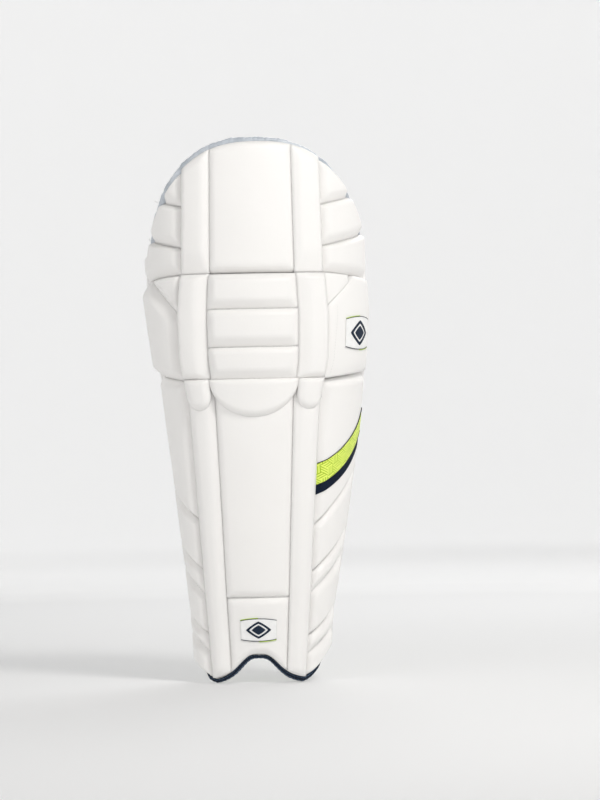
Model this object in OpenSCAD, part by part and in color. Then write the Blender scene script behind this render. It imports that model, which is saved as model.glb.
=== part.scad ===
// Cricket leg pad for the left leg: padded face, rear lining and bolsters, three strap closures.
// Frame: +Z up the shin, -Y out of the face, +X towards the wider outer wing. Millimetres.
// Every curved layer is laid on one reference surface. v runs across it: 0 is the centre line,
// 1 the outer edge of a cane, 2 the rear edge of a wing. d is the distance out of the surface.

/* [Pad] */
// Height from the instep tips to the crown of the top hat
pad_h = 760; // [750:5:775]
// Height of the sewn seam between the knee and the top hat
seam_h = 570; // [566:1:574]
// Height of the lower edge of the knee section
knee_h = 422; // [418:1:426]
// Height of the seam between the shin and instep panels
instep_h = 119; // [112:1:126]
// Radius of the face across the shin, at scale 1
face_r = 200; // [190:5:220]
// Length of the straight rear part of each wing
wing_tail = 18; // [14:1:24]

/* [Padding] */
// Thickness of the backing layer
backing_t = 4; // [3:0.5:5]
// How far the shin and top hat panels stand out
panel_d = 16; // [14:1:18]
// How far the canes stand out
cane_d = 18; // [16:1:20]
// How far the knee rolls stand out
roll_d = 26; // [23:1:28]
// How far the wing pads stand out
wing_d = 12; // [10:1:14]
// Depth of the rear bolsters behind the surface
bolster_d = 28; // [22:1:30]

/* [Closures] */
// Thickness of the webbing
web_t = 2; // [1.5:0.1:2.2]
// Radius of a ring's two upright bars
bar_r = 2.2; // [2:0.1:2.4]
// Distance between a ring's bars, centre to centre
bar_gap = 20; // [19:0.5:22]
// Length of a ring's curved ends
ring_w = 29; // [27:1:31]
// Height of a ring's curved ends
ring_end_h = 5; // [4:0.5:6]
// Length of the anchor webbing from the ring's outer bar to the wing
anchor_l = 30; // [26:1:34]

/* [Hidden] */
// Where the reference surface's centre line lies from the origin below the middle of the pad
centre_x = -4.31;
front_y = -48.43;

SIDES = [-1, 1];
function side_name(side) = side < 0 ? "inner" : "outer";
TOP_PADS = 3;
SHIN_PADS = 4;
STRAPS = ["lower", "middle", "upper"];

gap = 1.5;            // clearance between layers
seam_gap = 2.5;       // half the groove between the top hat and the knee
turn_a = 30;          // slope of the face where a wing begins
inner_v = 0.6;        // edge between the centre panels and the canes
groove = 0.008;       // half the groove between neighbouring panels, as v
wing_end_v = 1.98;

// Plan shape against height, as [height, size]; the half widths are over the wing pads
scale_at = [[0, 0.58], [130, 0.68], [240, 0.75], [400, 0.86], [450, 0.96], [510, 0.98], [570, 0.93], [760, 0.89]];
inner_half = [[0, 90], [100, 95], [200, 107], [300, 118], [430, 134], [560, 152]];
outer_half = [[0, 98], [100, 107], [200, 125], [300, 141], [400, 154], [515, 162.5], [570, 161]];

function mix(a, b, t) = a + (b - a) * t;
function face_scale(z) = lookup(z, scale_at);
function half_w(side, z) = lookup(z, side < 0 ? inner_half : outer_half) - wing_d;
function end_a(side) = side < 0 ? 88 : 78;
function face_x(z) = face_r * face_scale(z) * sin(turn_a);
function wing_r(side, z) =
    (half_w(side, z) - face_x(z) - wing_tail * cos(end_a(side))) / (sin(end_a(side)) - sin(turn_a));
function wing_arc(side, z) = wing_r(side, z) * (end_a(side) - turn_a) * PI / 180;
function wing_s(v, z) = (abs(v) - 1) * (wing_arc(sign(v), z) + wing_tail);
// Slope of the surface at v, in degrees from facing straight forwards
function slope(v, z) = abs(v) <= 1 ? asin(v * sin(turn_a))
    : sign(v) * min(end_a(sign(v)), turn_a + wing_s(v, z) / wing_r(sign(v), z) * 180 / PI);
function past_arc(v, z) = abs(v) <= 1 ? 0 : max(0, wing_s(v, z) - wing_arc(sign(v), z));
function plan_x(v, z) = abs(v) <= 1 ? v * face_x(z)
    : let(s = sign(v), a = abs(slope(v, z)))
      s * (face_x(z) + wing_r(s, z) * (sin(a) - sin(turn_a)) + past_arc(v, z) * cos(a));
function plan_y(v, z) = let(a = abs(slope(v, z)), r = face_r * face_scale(z))
    abs(v) <= 1 ? r * (1 - cos(a))
    : r * (1 - cos(turn_a)) + wing_r(sign(v), z) * (cos(turn_a) - cos(a)) + past_arc(v, z) * sin(a);
// Side profile of the centre line: the instep flares forwards and the top leans back
function profile_y(z) = -12 * pow(max(0, 1 - z / 90), 2) + 6 * pow(max(0, (z - seam_h) / 190), 2)
    - 4 * exp(-pow((z - 490) / 70, 2));
function skin(v, z, d) = let(a = slope(v, z))
    [centre_x + plan_x(v, z) + d * sin(a), front_y + plan_y(v, z) + profile_y(z) - d * cos(a), z];

// Outline of the dome: a superellipse seen from the front
dome_base = 555;
dome_half_w = 157;
dome_x = 7;
dome_n = 2.5;
function dome_z(v) = let(face = plan_x(v, 600) + wing_d * sin(slope(v, 600)),
    x = min(0.985, abs(face - dome_x) / dome_half_w))
    dome_base + (pad_h - dome_base) * pow(1 - pow(x, dome_n), 1 / dome_n);
// Outline of the foot: the instep arch between two tips, rising again under the wings
function foot_z(v) = let(x = abs(plan_x(v, 30) + wing_d * sin(slope(v, 30))))
    max(0, 38 / (1 + pow(x / 33, 3)) - 4.5) + (x > 62 ? 20 * pow((x - 62) / 28, 2) : 0);
function wing_w(v) = max(0, abs(v) - 1);
function seam_z(v) = seam_h - 10 * wing_w(v);
function knee_z(v) = knee_h + 12 * wing_w(v);

// Steps across a panel: its bevel, then equal parts
function steps(n, e) = concat([0], [for (i = [0:n]) e + (1 - 2 * e) * i / n], [1]);

// One layer of padding between v0 and v1, from height low(v) to high(v). The flat side lies at
// distance flat and the crowned side at crown, with its border bevelled.
module panel(v0, v1, low, high, flat, crown, bevel = 3, cols = 2, rows = 3) {
    us = steps(cols, min(0.3, bevel / 95 / (v1 - v0)));
    vm = mix(v0, v1, 0.5);
    ts = steps(rows, min(0.3, bevel / (high(vm) - low(vm))));
    nu = len(us);
    nt = len(ts);
    out = sign(crown - flat);
    points = [for (layer = [0, 1], j = [0:nt - 1], i = [0:nu - 1])
        let(v = mix(v0, v1, us[i]), z = mix(low(v), high(v), ts[j]),
            border = i == 0 || j == 0 || i == nu - 1 || j == nt - 1)
        skin(v, z, layer == 0 ? flat : border ? crown - out * bevel : crown)];
    function at(layer, j, i) = layer * nu * nt + j * nu + i;
    function quad(a, b, c, d) = out > 0 ? [[a, b, c], [a, c, d]] : [[a, c, b], [a, d, c]];
    faces = [
        for (j = [0:nt - 2], i = [0:nu - 2], layer = [0, 1])
            let(a = at(layer, j, i), b = at(layer, j + 1, i), c = at(layer, j + 1, i + 1), d = at(layer, j, i + 1))
            each layer == 1 ? quad(a, b, c, d) : quad(a, d, c, b),
        for (i = [0:nu - 2])
            each concat(quad(at(0, 0, i), at(1, 0, i), at(1, 0, i + 1), at(0, 0, i + 1)),
                quad(at(0, nt - 1, i), at(0, nt - 1, i + 1), at(1, nt - 1, i + 1), at(1, nt - 1, i))),
        for (j = [0:nt - 2])
            each concat(quad(at(0, j, 0), at(0, j + 1, 0), at(1, j + 1, 0), at(1, j, 0)),
                quad(at(0, j, nu - 1), at(1, j, nu - 1), at(1, j + 1, nu - 1), at(0, j + 1, nu - 1)))];
    polyhedron(points, faces, convexity = 6);
}

// The same panel on the inner (side -1) or outer (side 1) half
module side_panel(side, v0, v1, low, high, flat, crown, bevel = 3, cols = 2, rows = 3) {
    panel(side < 0 ? -v1 : v0, side < 0 ? -v0 : v1, low, high, flat, crown, bevel, cols, rows);
}

leather = "white";
seam_top = function(v) seam_z(v) + seam_gap;
seam_under = function(v) seam_z(v) - seam_gap;
above_knee_edge = function(v) knee_z(v);
trim_w = 11;
under_dome = function(v) dome_z(v) - trim_w;
over_foot = function(v) foot_z(v) + 8;

// Backing
module pad_backing() color("whitesmoke")
    panel(-2, 2, function(v) foot_z(v), function(v) seam_z(v) - 0.8, -backing_t, 0, 1, 20, 12);
module top_hat_backing() color("whitesmoke")
    panel(-2, 2, function(v) seam_z(v) + 0.8, function(v) dome_z(v), -backing_t, 0, 1, 20, 5);
module cane_core(side) color("burlywood")
    side_panel(side, 0.68, 0.92, function(v) 90, function(v) 400, gap, gap + 4, 0.8, 1, 6);

// Top hat
module top_hat_center_panel() color(leather)
    panel(-inner_v + groove, inner_v - groove, seam_top, under_dome, gap, panel_d, 3, 4, 3);
module top_hat_cane(side) color(leather)
    side_panel(side, inner_v + groove, 1 - groove, seam_top, under_dome, gap, cane_d, 4, 2, 3);
// Lines between the wing pads, as [height at the cane, rise to the rear edge]
top_lines = [[606, 22], [664, 24]];
function line_z(line, v) = line[0] + line[1] * wing_w(v);
function top_pad_low(i, v) = i == 1 ? seam_z(v) + seam_gap : line_z(top_lines[i - 2], v) + 1;
// A wing pad ends where the dome leaves it less than this height
least_pad_h = 12;
function top_pad_end(side, i) =
    max([for (v = [1.2:0.01:wing_end_v]) if (under_dome(side * v) - top_pad_low(i, v) > least_pad_h) v]);
module top_hat_wing_pad(side, i) color(leather)
    side_panel(side, 1 + groove, top_pad_end(side, i), function(v) top_pad_low(i, v),
        i == TOP_PADS ? under_dome : function(v) min(line_z(top_lines[i - 1], v) - 1, under_dome(v)),
        gap, wing_d, 3, 4, 2);
module top_hat_binding() color("lightsteelblue")
    panel(-1.97, 1.97, function(v) dome_z(v) - trim_w + 1.5, function(v) dome_z(v) - 0.5, gap, 7, 2, 20, 1);

// Knee
roll_lines = [knee_h, 467, 520, seam_h - seam_gap];
module knee_roll(i) color(leather)
    panel(-inner_v + groove, inner_v - groove, function(v) roll_lines[i] + 0.8,
        function(v) roll_lines[i + 1] - 0.8, gap, roll_d, 7, 4, 2);
module knee_cane(side) color(leather)
    side_panel(side, inner_v + groove, 1 - groove, above_knee_edge, seam_under, gap, roll_d - 4, 5, 2, 4);
// The upper pad lies above a groove that climbs outwards
knee_lines = [[508, 32], [523, 92]];
knee_upper_end = [wing_end_v, 1.34];
module knee_wing_pad(side, i) {
    line = knee_lines[side < 0 ? 0 : 1];
    color(leather) side_panel(side, 1 + groove, i == 1 ? knee_upper_end[side < 0 ? 0 : 1] : wing_end_v,
        i == 1 ? function(v) line_z(line, v) + 1 : above_knee_edge,
        i == 1 ? seam_under : function(v) min(line_z(line, v) - 1, seam_under(v)), 1.6 * gap, wing_d + 2, 3, 4, 2);
}
module half_moon_tongue() color(leather)
    panel(-0.62, 0.62, function(v) knee_h - 3 - 50 * sqrt(1 - pow(v / 0.64, 2)), function(v) knee_h - 1.5,
        panel_d + 1.5, panel_d + 6, 2, 8, 2);
module cane_tongue(side) color(leather)
    side_panel(side, 0.64, 0.98, function(v) knee_h - 42 + 16 * (1 - sqrt(1 - pow((abs(v) - 0.81) / 0.175, 2))),
        function(v) knee_h - 1.5, cane_d + 1.5, cane_d + 6, 2, 4, 2);

// Shin
under_knee = function(v) knee_z(v) - 4;
module shin_center_panel() color(leather)
    panel(-inner_v + groove, inner_v - groove, function(v) instep_h + 1, under_knee, gap, panel_d, 3, 4, 6);
module instep_panel() color(leather)
    panel(-inner_v + groove, inner_v - groove, over_foot, function(v) instep_h - 1, gap, panel_d, 3, 12, 2);
module shin_cane(side) color(leather)
    side_panel(side, inner_v + groove, 1 - groove, over_foot, under_knee, gap + 5, cane_d, 4, 2, 7);
// For each side, a line's height beside the cane and its rise to the wing's rear edge
shin_lines = [[[225, 62], [155, 62], [66, 50]], [[214, 92], [150, 72], [62, 52]]];
module shin_wing_pad(side, i) {
    lines = shin_lines[side < 0 ? 0 : 1];
    color(leather) side_panel(side, 1 + groove, wing_end_v,
        i == SHIN_PADS ? function(v) over_foot(v) + 2 : function(v) line_z(lines[i - 1], v) + 1,
        i == 1 ? under_knee : function(v) line_z(lines[i - 2], v) - 1, gap, wing_d, 3, 4, i == 1 ? 4 : 2);
}

// Trim
module instep_binding() color("midnightblue")
    panel(-1.02, 1.02, function(v) foot_z(v), function(v) foot_z(v) + 5.5, gap, 8, 1.5, 24, 1);
module wing_band() color("greenyellow")
    panel(1.03, 1.95, function(v) 258 + 45 * wing_w(v) + 40 * pow(wing_w(v), 2),
        function(v) 302 + 40 * wing_w(v) + 45 * pow(wing_w(v), 2), wing_d + 1.2, wing_d + 2.2, 0.3, 6, 2);
module knee_badge() color("navy")
    panel(1.33, 1.82, function(v) 463, function(v) 506, wing_d + 3.2, wing_d + 4.4, 0.4, 4, 2);
module instep_badge() color("navy")
    panel(-0.36, 0.36, function(v) 58, function(v) 90, panel_d + 0.6, panel_d + 2, 0.4, 4, 1);

// Back of the top hat: a shield-shaped panel in a printed cloth
shield_v = 0.98;
shield_line = [[0, 586], [0.70, 634], [shield_v, 698]];
function shield_z(v) = lookup(abs(v), shield_line);
module top_hat_back_panel() color("white")
    panel(-shield_v, shield_v, function(v) shield_z(v) + 1, function(v) dome_z(v) - 4,
        -backing_t - gap, -backing_t - gap - 4, 1, 14, 2);
module top_hat_back_cloth() color("greenyellow")
    panel(-1.9, 1.9, function(v) seam_z(v) + 3,
        function(v) abs(v) < shield_v + 0.06 ? shield_z(v) - 6 :
            min(shield_z(v) + 160 * (abs(v) - shield_v), dome_z(v) - 4),
        -backing_t - gap, -backing_t - gap - 3, 1, 36, 2);

// Rear padding
liner_v = 0.30;
module knee_bolster() color("white")
    panel(-1.3, 1.3, function(v) 436, function(v) 548, -backing_t - gap, -bolster_d, 9, 10, 2);
module calf_bolster(side) color("white")
    side_panel(side, liner_v + 0.03, 1.2, function(v) foot_z(v) + 3, function(v) 431,
        -backing_t - gap, -bolster_d + 2, 8, 3, 8);
module shin_liner() color("white")
    panel(-liner_v, liner_v, function(v) foot_z(v) + 4, function(v) 431, -backing_t - gap, -backing_t - gap - 4, 1, 2, 6);

// Closures. Each runs from the inner wing's rear edge to a ring held by an anchor on the outer wing.
strap_h = [110, 283, 433];
strap_w = [50, 60, 35];
tab_l = [95, 110, 120];
anchor_a = [-18, -14, -12];
ring_a = [-4, -3, -3];
bar_clear = 1.8;
loop_r = bar_r + bar_clear + web_t;
tab_lift = 2.2;
ramp_l = 20;
edge_gap = 3.4;
function turn(a, p) = [p[0] * cos(a) - p[1] * sin(a), p[0] * sin(a) + p[1] * cos(a)];
function wing_edge(side, i) = let(p = skin(2 * side, strap_h[i], -backing_t / 2)) [p[0], p[1] + edge_gap];
function outer_bar(i) = wing_edge(1, i) - turn(anchor_a[i], [anchor_l, 0]);
function inner_bar(i) = outer_bar(i) - turn(ring_a[i], [bar_gap, 0]);
function strap_end(i) = inner_bar(i) + turn(ring_a[i], [0, -loop_r + web_t / 2]);
// The strap's centre line bends from the inner wing's edge to the ring's direction
function strap_bend(i) = strap_end(i) - turn(ring_a[i], [norm(strap_end(i) - wing_edge(-1, i)) / 2, 0]);
function strap_at(i, t) = mix(mix(wing_edge(-1, i), strap_bend(i), t), mix(strap_bend(i), strap_end(i), t), t);
function strap_dir(i, t) = let(p = mix(strap_bend(i) - wing_edge(-1, i), strap_end(i) - strap_bend(i), t)) p / norm(p);
function across(p) = [-p[1], p[0]];
function strap_side(i, t, lift) = strap_at(i, t) + across(strap_dir(i, t)) * lift;
function band_side(i, t0, t1, lift0, lift1, parts) =
    [for (k = [0:parts]) strap_side(i, mix(t0, t1, k / parts), mix(lift0, lift1, k / parts))];
function backwards(points) = [for (k = [len(points) - 1:-1:0]) points[k]];
// A flat band along part of the strap, lifted off its centre line by lift0 and lift1 at the ends
module band(i, t0, t1, lift0, lift1, parts)
    polygon(concat(band_side(i, t0, t1, lift0 - web_t / 2, lift1 - web_t / 2, parts),
        backwards(band_side(i, t0, t1, lift0 + web_t / 2, lift1 + web_t / 2, parts))));
// The fold round the ring's inner bar
function fold(i, r) = [for (a = [-84:12:90]) inner_bar(i) + turn(ring_a[i] + a, [r, 0])];
module at_strap(i) translate([0, 0, strap_h[i] - strap_w[i] / 2]) linear_extrude(strap_w[i]) children();

module strap(i) color("white") at_strap(i)
    polygon(concat(band_side(i, 0.004, 1, -web_t / 2, -web_t / 2, 14), fold(i, loop_r),
        backwards(fold(i, loop_r - web_t)), backwards(band_side(i, 0.004, 1, web_t / 2, web_t / 2, 14))));
module tab(i) {
    span = norm(strap_end(i) - wing_edge(-1, i));
    reach = tab_l[i] / span;
    ramp = ramp_l / span;
    color("white") at_strap(i) {
        band(i, 1 - reach, 1 - ramp, 4.6, 4.6, 8);
        band(i, 1 - ramp, 1, 4.6, 2 * loop_r - web_t / 2 + tab_lift, 4);
    }
}
module ring(i) {
    slot_h = strap_w[i] + 1;
    end_r = (pow(ring_w / 2, 2) + pow(ring_end_h, 2)) / (2 * ring_end_h);
    color("midnightblue") translate([each outer_bar(i), strap_h[i]]) rotate(ring_a[i]) {
        for (x = [0, -bar_gap]) translate([x, 0, 0]) cylinder(h = slot_h + 4, r = bar_r, center = true, $fn = 48);
        for (up = [0, 1]) mirror([0, 0, up]) translate([-bar_gap / 2, 3, slot_h / 2]) rotate([90, 0, 0])
            linear_extrude(6) intersection() {
                translate([0, ring_end_h - end_r]) circle(end_r, $fn = 96);
                translate([-ring_w / 2, 0]) square([ring_w, ring_end_h]);
            }
    }
}
module anchor(i) color("white") at_strap(i) translate(outer_bar(i)) rotate(anchor_a[i]) {
    difference() {
        union() {
            circle(loop_r, $fn = 64);
            polygon([[0, -loop_r], [12, -web_t], [anchor_l - 1, -web_t], [anchor_l - 1, web_t], [12, web_t], [0, loop_r]]);
        }
        circle(bar_r + bar_clear, $fn = 64);
    }
}

pad_backing();
top_hat_backing();
top_hat_center_panel();
knee_roll(0);  // knee_roll_lower
knee_roll(1);  // knee_roll_middle
knee_roll(2);  // knee_roll_upper
half_moon_tongue();
shin_center_panel();
instep_panel();
wing_band();
knee_badge();
instep_badge();
top_hat_binding();
instep_binding();
top_hat_back_panel();
top_hat_back_cloth();
knee_bolster();
shin_liner();
for (s = SIDES) {
    top_hat_cane(s);
    knee_cane(s);
    cane_tongue(s);
    shin_cane(s);
    cane_core(s);
    calf_bolster(s);
    for (i = [1:TOP_PADS])
        top_hat_wing_pad(s, i);
    for (i = [1:2])
        knee_wing_pad(s, i);
    for (i = [1:SHIN_PADS])
        shin_wing_pad(s, i);
}
for (i = [0:2]) {
    strap(i);
    tab(i);
    ring(i);
    anchor(i);
}
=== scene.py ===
"""Cricket leg pad: the looks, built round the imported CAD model.
Every curved layer lies on the reference surface that the CAD model uses: v runs across it (0 centre line, 1 a
cane's outer edge, 2 a wing's rear edge), z is the height and d the distance out of it, all in millimetres."""
from math import cos, pi, radians, sin, sqrt

import bmesh
import bpy
import numpy as np
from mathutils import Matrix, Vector


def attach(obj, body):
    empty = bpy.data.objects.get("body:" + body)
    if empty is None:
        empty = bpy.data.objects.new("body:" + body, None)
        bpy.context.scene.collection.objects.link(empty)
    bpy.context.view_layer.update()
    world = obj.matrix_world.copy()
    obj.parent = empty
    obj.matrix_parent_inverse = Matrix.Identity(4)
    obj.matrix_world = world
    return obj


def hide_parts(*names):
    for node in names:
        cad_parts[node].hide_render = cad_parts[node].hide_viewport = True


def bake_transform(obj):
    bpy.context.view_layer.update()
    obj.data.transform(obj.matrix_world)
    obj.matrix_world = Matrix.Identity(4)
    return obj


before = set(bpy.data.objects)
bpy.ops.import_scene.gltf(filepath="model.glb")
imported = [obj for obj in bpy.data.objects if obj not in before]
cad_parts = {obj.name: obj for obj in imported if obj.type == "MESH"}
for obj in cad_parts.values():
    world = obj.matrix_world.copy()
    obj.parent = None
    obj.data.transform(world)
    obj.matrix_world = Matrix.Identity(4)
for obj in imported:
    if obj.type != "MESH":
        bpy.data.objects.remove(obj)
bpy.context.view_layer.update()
MM = 0.001
SIDES = {-1: "inner", 1: "outer"}

# ---------------------------------------------------------------- reference surface
PAD_H, SEAM_H, KNEE_H, INSTEP_H = 760, 570, 422, 119
FACE_R, WING_TAIL, WING_D = 200, 18, 12
FACE_TURN, INNER_TURN, OUTER_TURN = 30, 88, 78      # degrees turned at a cane and at each rear edge
CENTRE_X, FRONT_Y = -4.31, -48.43
PANEL_D, CANE_D, ROLL_D, BACK_T = 16, 18, 26, 4
INNER_V = 0.6                                       # a cane's inner edge
SCALE_AT = [[0, 0.58], [130, 0.68], [240, 0.75], [400, 0.86], [450, 0.96], [510, 0.98], [570, 0.93],
            [760, 0.89]]
INNER_HALF = [[0, 90], [100, 95], [200, 107], [300, 118], [430, 134], [560, 152]]
OUTER_HALF = [[0, 98], [100, 107], [200, 125], [300, 141], [400, 154], [515, 162.5], [570, 161]]
DOME_BASE, DOME_HALF_W, DOME_X, DOME_N = 555, 157, 7, 2.5


def lookup(z, table):
    return np.interp(z, [row[0] for row in table], [row[1] for row in table])


def half_width(v, z):
    return np.where(v < 0, lookup(z, INNER_HALF), lookup(z, OUTER_HALF))


def section(v, z):
    """Plan x, plan y and slope (radians) of the surface."""
    v, z = np.broadcast_arrays(np.asarray(v, float), np.asarray(z, float))
    side = np.where(v < 0, -1.0, 1.0)
    turn = radians(FACE_TURN)
    end = np.radians(np.where(v < 0, INNER_TURN, OUTER_TURN))
    r = FACE_R * lookup(z, SCALE_AT)
    face_x = r * sin(turn)
    wing_r = (half_width(v, z) - WING_D - face_x - WING_TAIL * np.cos(end)) / (np.sin(end) - sin(turn))
    arc = wing_r * (end - turn)
    s = wing_w(v) * (arc + WING_TAIL)
    face_a = np.arcsin(np.clip(np.abs(v), 0, 1) * sin(turn))
    on_wing = np.abs(v) > 1
    a = np.where(on_wing, np.minimum(end, turn + s / wing_r), face_a)
    past = np.maximum(0, s - arc)
    wing_x = face_x + wing_r * (np.sin(a) - sin(turn)) + past * np.cos(a)
    wing_y = r * (1 - cos(turn)) + wing_r * (cos(turn) - np.cos(a)) + past * np.sin(a)
    x = np.where(on_wing, wing_x, np.abs(v) * face_x)
    return side * x, np.where(on_wing, wing_y, r * (1 - np.cos(a))), side * a


def profile_y(z):
    """How far back the surface stands: forward at the foot and the knee, back at the top."""
    foot, top = np.maximum(0, 1 - z / 90), np.maximum(0, (z - SEAM_H) / 190)
    return -12 * foot**2 + 6 * top**2 - 4 * np.exp(-(((z - 490) / 70) ** 2))


def skin(v, z, d):
    """Points in metres at distance d out of the surface."""
    x, y, a = section(v, z)
    z = np.broadcast_to(np.asarray(z, float), x.shape)
    x, y = CENTRE_X + x + d * np.sin(a), FRONT_Y + y + profile_y(z) - d * np.cos(a)
    return np.stack([x, y, z], axis=-1) * MM


def across_mm(v, z):
    """Distance from the centre line along the surface, signed."""
    face = FACE_R * radians(FACE_TURN) * lookup(z, SCALE_AT)
    return np.sign(v) * (np.minimum(np.abs(v), 1) * face + wing_w(v) * half_width(v, z) * 0.75)


def wing_w(v):
    """Share of the way across a wing: 0 beside the cane, 1 at the rear edge."""
    return np.maximum(0, np.abs(v) - 1)


def dome_z(v):
    x, _, a = section(v, 600)
    share = np.minimum(0.985, np.abs(x + WING_D * np.sin(a) - DOME_X) / DOME_HALF_W)
    return DOME_BASE + (PAD_H - DOME_BASE) * (1 - share**DOME_N) ** (1 / DOME_N)


def foot_z(v):
    x, _, a = section(v, 30)
    x = np.abs(x + WING_D * np.sin(a))
    return np.maximum(0, 38 / (1 + (x / 33) ** 3) - 4.5) + np.where(x > 62, 20 * ((x - 62) / 28) ** 2, 0)


def seam_z(v):
    return SEAM_H - 10 * wing_w(v)


def knee_z(v):
    return KNEE_H + 12 * wing_w(v)


def line(height, rise=0):
    """A line that may climb across the wings."""
    return lambda v: height + rise * wing_w(v)


def raised(edge, rise):
    return lambda v: edge(v) + rise


# ---------------------------------------------------------------- mesh helpers
def patch(v, low, high, rows):
    """A grid over the columns v, from low(v) to high(v)."""
    v, t = np.meshgrid(v, np.linspace(0, 1, rows))
    return v, low(v) + (high(v) - low(v)) * t


def flat_uvs(v, z):
    return np.stack([across_mm(v, z), z], -1) * MM


def run_of(path):
    """Distance along a path of points."""
    return np.concatenate([[0], np.cumsum(np.linalg.norm(np.diff(path, axis=0), axis=1))])


def placed(name, data, place=(0, 0, 0), rotation=(0, 0, 0)):
    obj = bpy.data.objects.new(name, data)
    obj.location, obj.rotation_euler = place, rotation
    bpy.context.scene.collection.objects.link(obj)
    return obj


def new_object(name, verts, faces, uvs=None, shade=None):
    mesh = bpy.data.meshes.new(name)
    mesh.from_pydata([tuple(p) for p in verts], [], [tuple(f) for f in faces])
    if uvs is not None:
        layer = mesh.uv_layers.new(name="Cloth")
        loops = np.empty(len(mesh.loops), np.int32)
        mesh.loops.foreach_get("vertex_index", loops)
        layer.data.foreach_set("uv", np.asarray(uvs, np.float32)[loops].ravel())
    if shade is not None:
        attribute = mesh.attributes.new("shade", "FLOAT", "POINT")
        attribute.data.foreach_set("value", np.asarray(shade, np.float32).ravel())
    bm = bmesh.new()
    bm.from_mesh(mesh)
    bmesh.ops.recalc_face_normals(bm, faces=bm.faces)
    bm.to_mesh(mesh)
    bm.free()
    mesh.shade_smooth()
    return placed(name, mesh)


def sheet_mesh(name, front, back, uvs=None, shade=None):
    """A closed slab between two grids of points, each (rows, columns, 3). Its faces are by turns front and
    back, and then the rim."""
    rows, cols, _ = front.shape
    base = rows * cols
    grid = np.arange(base).reshape(rows, cols)
    faces = []
    for a in grid[:-1, :-1].ravel():
        faces.append((a, a + 1, a + cols + 1, a + cols))
        faces.append((base + a, base + a + cols, base + a + cols + 1, base + a + 1))
    rim = [*grid[:, 0], *grid[-1, 1:], *grid[-2::-1, -1], *grid[0, -2:0:-1]]
    faces += [(a, b, base + b, base + a) for a, b in zip(rim, rim[1:] + rim[:1])]
    if uvs is not None:
        uvs = np.concatenate([uvs.reshape(-1, 2)] * 2)
    if shade is not None:
        shade = np.concatenate([np.broadcast_to(shade, (rows, cols)).ravel(), np.zeros(base)])
    verts = np.concatenate([front.reshape(-1, 3), back.reshape(-1, 3)])
    return new_object(name, verts, faces, uvs, shade)


def ring_faces(rings, sides, start=0, closed=False):
    """Faces through rings of vertices. Both ends are capped, or joined to each other if it is closed."""
    faces = []
    for k in range(rings if closed else rings - 1):
        a, b = start + k * sides, start + (k + 1) % rings * sides
        faces += [(a + m, a + (m + 1) % sides, b + (m + 1) % sides, b + m) for m in range(sides)]
    if not closed:
        last = start + (rings - 1) * sides
        faces += [tuple(range(start + sides - 1, start - 1, -1)), tuple(range(last, last + sides))]
    return faces


def tube(name, path, radius, sides, shape=None):
    """A tube along path. radius may vary along it; shape(angle, distance) scales it."""
    path = np.asarray(path, float)
    tangents = np.gradient(path, axis=0)
    tangents /= np.linalg.norm(tangents, axis=1)[:, None]
    radius = np.broadcast_to(radius, len(path))
    run = run_of(path)
    normal = np.cross(tangents[0], [0.3, 0.2, 1.0])
    if np.linalg.norm(normal) < 0.1:
        normal = np.cross(tangents[0], [1.0, 0, 0])
    verts, uvs = [], []
    for point, tangent, fat, far in zip(path, tangents, radius, run):
        normal = normal - tangent * normal.dot(tangent)
        normal /= np.linalg.norm(normal)
        other = np.cross(tangent, normal)
        for m in range(sides):
            a = 2 * pi * m / sides
            r = fat * (shape(a, far) if shape else 1)
            verts.append(point + r * (cos(a) * normal + sin(a) * other))
            uvs.append((far, m / sides))
    return new_object(name, verts, ring_faces(len(path), sides), uvs)


def finish_piece(obj, body, material, nodes=()):
    for m in material if isinstance(material, list) else [material]:
        obj.data.materials.append(mats[m])
    if body:
        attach(obj, body)
    if nodes:
        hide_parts(*nodes)
    return obj


def cord(name, v, z, d, radius, body, material, sides=8):
    """A plain round cord along points of the surface."""
    return finish_piece(tube(name, skin(v, z, d), radius * MM, sides), body, material)


def bend_at_seam(obj):
    """Bakes a piece's transform into its mesh. It is used for pieces that cross the top hat's seam; nothing
    here bends them.
    """
    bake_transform(obj)


# ---------------------------------------------------------------- materials
def node(tree, kind, inputs=(), **props):
    n = tree.nodes.new(kind)
    for key, value in props.items():
        setattr(n, key, value)
    for key, value in dict(inputs).items():
        if isinstance(value, bpy.types.NodeSocket):
            tree.links.new(value, n.inputs[key])
        else:
            n.inputs[key].default_value = value
    return n


def maths(operation, *values, clamp=False):
    """One arithmetic node, in the tree of its first socket."""
    tree = next(value.id_data for value in values if isinstance(value, bpy.types.NodeSocket))
    return node(tree, "ShaderNodeMath", enumerate(values), operation=operation, use_clamp=clamp).outputs[0]


def add(a, b, clamp=False):
    return maths("ADD", a, b, clamp=clamp)


def times(a, b, clamp=False):
    return maths("MULTIPLY", a, b, clamp=clamp)


def link(socket, shader, name):
    shader.id_data.links.new(socket, shader.inputs[name])


def principled(name, **settings):
    mat = bpy.data.materials.new(name)
    mat.use_nodes = True
    shader = mat.node_tree.nodes["Principled BSDF"]
    for key, value in settings.items():
        shader.inputs[key.replace("_", " ")].default_value = value
    return mat, mat.node_tree, shader


def position(tree):
    return node(tree, "ShaderNodeTexCoord").outputs["Object"]


def cloth_uv(tree):
    return node(tree, "ShaderNodeUVMap", uv_map="Cloth").outputs["UV"]


def split_xyz(vector):
    return node(vector.id_data, "ShaderNodeSeparateXYZ", {0: vector}).outputs


def ramp(factor, stops, interpolation="LINEAR"):
    n = node(factor.id_data, "ShaderNodeValToRGB", {"Fac": factor})
    n.color_ramp.interpolation = interpolation
    elements = n.color_ramp.elements
    while len(elements) < len(stops):
        elements.new(0.5)
    for element, (place, colour) in zip(elements, stops):
        element.position = place
        element.color = (*colour, 1)
    return n.outputs["Color"]


def colour_by(shader, factor, stops):
    link(ramp(factor, stops), shader, "Base Color")


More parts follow.
